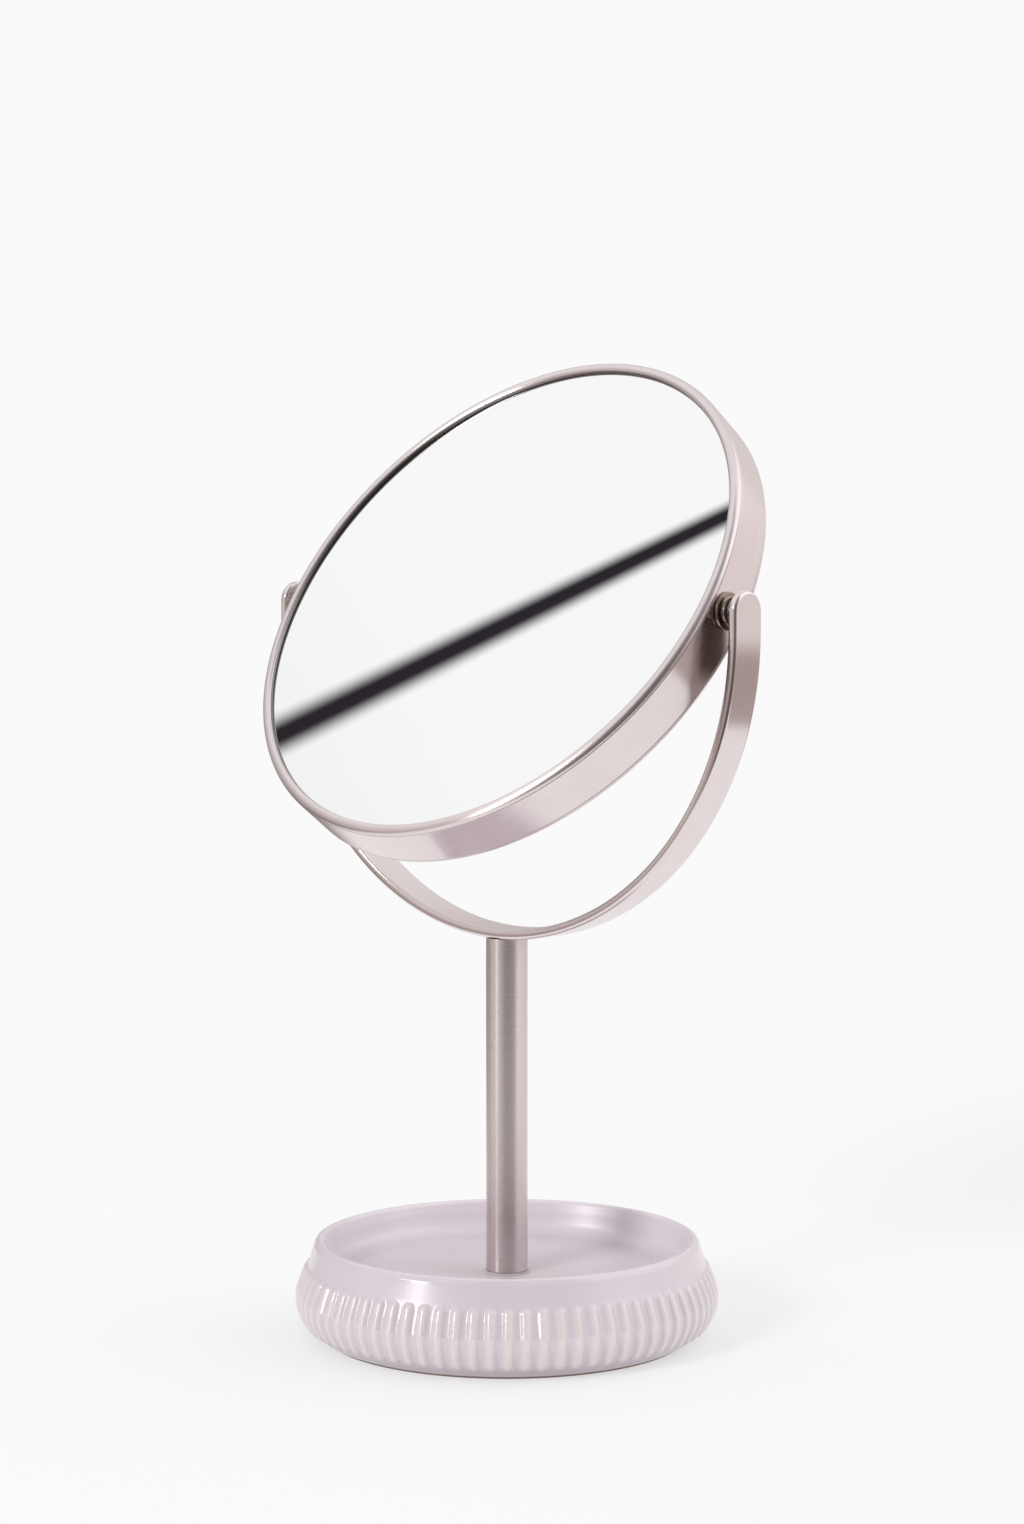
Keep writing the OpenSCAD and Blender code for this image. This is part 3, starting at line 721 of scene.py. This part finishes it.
# ---------------------------------------------------------------- camera
cam = bpy.data.cameras.new("camera")
cam.lens = 79.5
cam.sensor_width = 36.0
cam.clip_start = 0.01
cam.clip_end = 20.0
cam_o = bpy.data.objects.new("camera", cam)
cam_o.location = (0.6897, -0.7269, 0.2462)
cam_o.rotation_euler = (math.radians(90 - 4.1797), 0.0, math.radians(43.408))
scene.collection.objects.link(cam_o)
scene.camera = cam_o


# ---------------------------------------------------------------- light
def area(name, az, el, dist_m, size, power, target=(0, 0, 0.1), colour=(1, 1, 1), diffuse=True, glossy=True, size_y=None):
    """A soft light. az is a compass angle from +Y towards +X."""
    d = np.array([math.sin(math.radians(az)) * math.cos(math.radians(el)), math.cos(math.radians(az)) * math.cos(math.radians(el)),
                  math.sin(math.radians(el))])
    light = bpy.data.lights.new(name, "AREA")
    light.energy = power
    light.color = colour
    light.shape = "RECTANGLE"
    light.size = size
    light.size_y = size_y or size
    o = bpy.data.objects.new(name, light)
    pos = np.array(target) + d * dist_m
    o.location = pos
    from mathutils import Vector
    o.rotation_euler = Vector(tuple(-d)).to_track_quat("-Z", "Y").to_euler()
    scene.collection.objects.link(o)
    o.visible_camera = False
    o.visible_diffuse = diffuse
    o.visible_glossy = glossy
    o.visible_transmission = False
    return o


area("key", -181, 27, 8.0, 2.0, 20.0 * math.pi * 2.0**2, glossy=False)
area("key_glint", -162, 25, 8.0, 1.7, 6.2 * math.pi * 1.7**2, diffuse=False)
# a tall panel that the glaze and the front lip mirror
panel = area("panel_glint", -171, 11, 8.0, 1.4, 5.0 * math.pi * 1.4 * 5.8, diffuse=False, size_y=5.8)
glazed = bpy.data.collections.new("glazed")
glazed.objects.link(dish)
glazed.objects.link(front_lip)
panel.light_linking.receiver_collection = glazed
# a weak fill on the far side of the tray
fill = area("tray_fill", 60, 16, 8.0, 2.2, 4.2 * math.pi * 2.2**2, glossy=False)
fill.light_linking.receiver_collection = glazed


def make_world():
    w = bpy.data.worlds.new("studio")
    w.use_nodes = True
    scene.world = w
    nt = w.node_tree
    nt.nodes.clear()
    out = nt.nodes.new("ShaderNodeOutputWorld")
    bg = nt.nodes.new("ShaderNodeBackground")
    nt.links.new(bg.outputs[0], out.inputs[0])
    tc = nt.nodes.new("ShaderNodeTexCoord")
    nv = nt.nodes.new("ShaderNodeVectorMath")
    nv.operation = "NORMALIZE"
    nt.links.new(tc.outputs["Generated"], nv.inputs[0])
    sep = nt.nodes.new("ShaderNodeSeparateXYZ")
    nt.links.new(nv.outputs[0], sep.inputs[0])
    x, y, z = sep.outputs
    az = math_node(nt, "ADD", math_node(nt, "DIVIDE", math_node(nt, "ARCTAN2", x, y), 2 * math.pi), 0.5)
    el = math_node(nt, "MULTIPLY", math_node(nt, "ARCSINE", z), 180 / math.pi)

    def ring_of(stops):
        r = nt.nodes.new("ShaderNodeValToRGB")
        r.color_ramp.interpolation = "EASE"
        stops = sorted(((((a + 180) % 360) / 360, c) for a, c in stops))
        els = r.color_ramp.elements
        while len(els) < len(stops):
            els.new(0.5)
        for e, (pos, c) in zip(els, stops):
            e.position = pos
            e.color = (*c, 1) if isinstance(c, tuple) else (c, c, c, 1)
        nt.links.new(az, r.inputs[0])
        return r.outputs[0]

    # near the horizon: a tan room, windows to the right, the dark side behind the camera
    horizon = ring_of([(-179.9, 0.60), (-158, 0.64), (-137, 0.72), (-112, 0.50), (-55, 0.44), (-38, 0.70), (-16, 0.80), (25, 0.86), (60, 0.86),
                       (76, 0.80), (90, 0.40), (104, 0.17), (142, 0.15), (156, 0.30), (168, 0.46), (179.9, 0.60)])
    upper = ring_of([(-179.9, 0.92), (-130, 0.955), (-80, 0.955), (-40, 0.80), (-5, 0.85), (30, 1.05), (75, 1.05), (100, 0.30),
                     (150, 0.28), (168, 0.62), (179.9, 0.92)])
    lower = ring_of([(-179.9, 0.42), (-135, 0.42), (-105, 0.28), (-60, 0.30), (-40, 0.50), (37, 0.46), (70, 0.55), (96, 0.16), (142, 0.12), (165, 0.25), (179.9, 0.42)])
    f_up = mapped(nt, el, 0.0, 1.0, 22.0, 42.0, smooth=True)
    f_dn = mapped(nt, el, 0.0, 1.0, -1.5, -8.5, smooth=True)
    tan_tint = mix_rgb(nt, 1.0, horizon, (1.0, 0.945, 0.925), "MULTIPLY")
    col = mix_rgb(nt, f_up, tan_tint, upper)
    col = mix_rgb(nt, f_dn, col, mix_rgb(nt, 1.0, lower, (1.0, 0.86, 0.82), "MULTIPLY"))
    # a tall window to the right
    window = ring_of([(-179.9, 0.0), (-8, 0.0), (12, 1.0), (70, 1.0), (84, 0.0), (179.9, 0.0)])
    tall = math_node(nt, "MULTIPLY", mapped(nt, el, 0.0, 1.0, 15.0, 22.0, smooth=True), mapped(nt, el, 1.0, 0.0, 44.0, 58.0, smooth=True))
    col = mix_rgb(nt, math_node(nt, "MULTIPLY", window, tall), col, (1.32, 1.33, 1.36))
    # the dark boom that crosses the glass
    nb = (-0.33975417, 0.94048074, 0.00794262)
    dotn = nt.nodes.new("ShaderNodeVectorMath")
    dotn.operation = "DOT_PRODUCT"
    dotn.inputs[1].default_value = nb
    nt.links.new(nv.outputs[0], dotn.inputs[0])
    wid = mapped(nt, el, 1.0, 0.62, 38.9, 47.0)
    q = math_node(nt, "DIVIDE", math_node(nt, "ABSOLUTE", dotn.outputs["Value"]), wid)
    bar = mapped(nt, q, 1.0, 0.0, 0.0012, 0.0074, smooth=True)
    zone = nt.nodes.new("ShaderNodeVectorMath")
    zone.operation = "DOT_PRODUCT"
    zone.inputs[1].default_value = (-0.689, -0.255, 0.678)
    nt.links.new(nv.outputs[0], zone.inputs[0])
    bar = math_node(nt, "MULTIPLY", bar, mapped(nt, zone.outputs["Value"], 0.0, 1.0, 0.90, 0.95, smooth=True))
    col = mix_rgb(nt, bar, col, (0.024, 0.020, 0.026))

    lp = nt.nodes.new("ShaderNodeLightPath")
    # what lights the pale surfaces: even all round, weaker from behind the camera
    side_dot = nt.nodes.new("ShaderNodeVectorMath")
    side_dot.operation = "DOT_PRODUCT"
    side_dot.inputs[1].default_value = (0.66, -0.70, 0.10)
    nt.links.new(nv.outputs[0], side_dot.inputs[0])
    right_dot = nt.nodes.new("ShaderNodeVectorMath")
    right_dot.operation = "DOT_PRODUCT"
    right_dot.inputs[1].default_value = (0.70, 0.70, 0.12)
    nt.links.new(nv.outputs[0], right_dot.inputs[0])
    soft = math_node(nt, "ADD", mapped(nt, side_dot.outputs["Value"], 0.82, 0.48, -0.2, 0.95, smooth=True),
                     mapped(nt, right_dot.outputs["Value"], 0.0, 0.85, 0.4, 1.0, smooth=True))
    soft = math_node(nt, "MULTIPLY", soft, mapped(nt, el, 0.86, 1.13, -5.0, 38.0, smooth=True))
    even = nt.nodes.new("ShaderNodeCombineXYZ")
    nt.links.new(soft, even.inputs[0])
    nt.links.new(soft, even.inputs[1])
    nt.links.new(soft, even.inputs[2])
    see = mix_rgb(nt, lp.outputs["Is Diffuse Ray"], col, even.outputs[0])
    direct = math_node(nt, "MAXIMUM", lp.outputs["Is Camera Ray"], lp.outputs["Is Transmission Ray"])
    see = mix_rgb(nt, direct, see, (0.955, 0.955, 0.955))
    nt.links.new(see, bg.inputs[0])
    return w


make_world()
scene.view_settings.view_transform = "Standard"
scene.view_settings.look = "None"
scene.view_settings.exposure = 0.0
scene.view_settings.gamma = 1.0
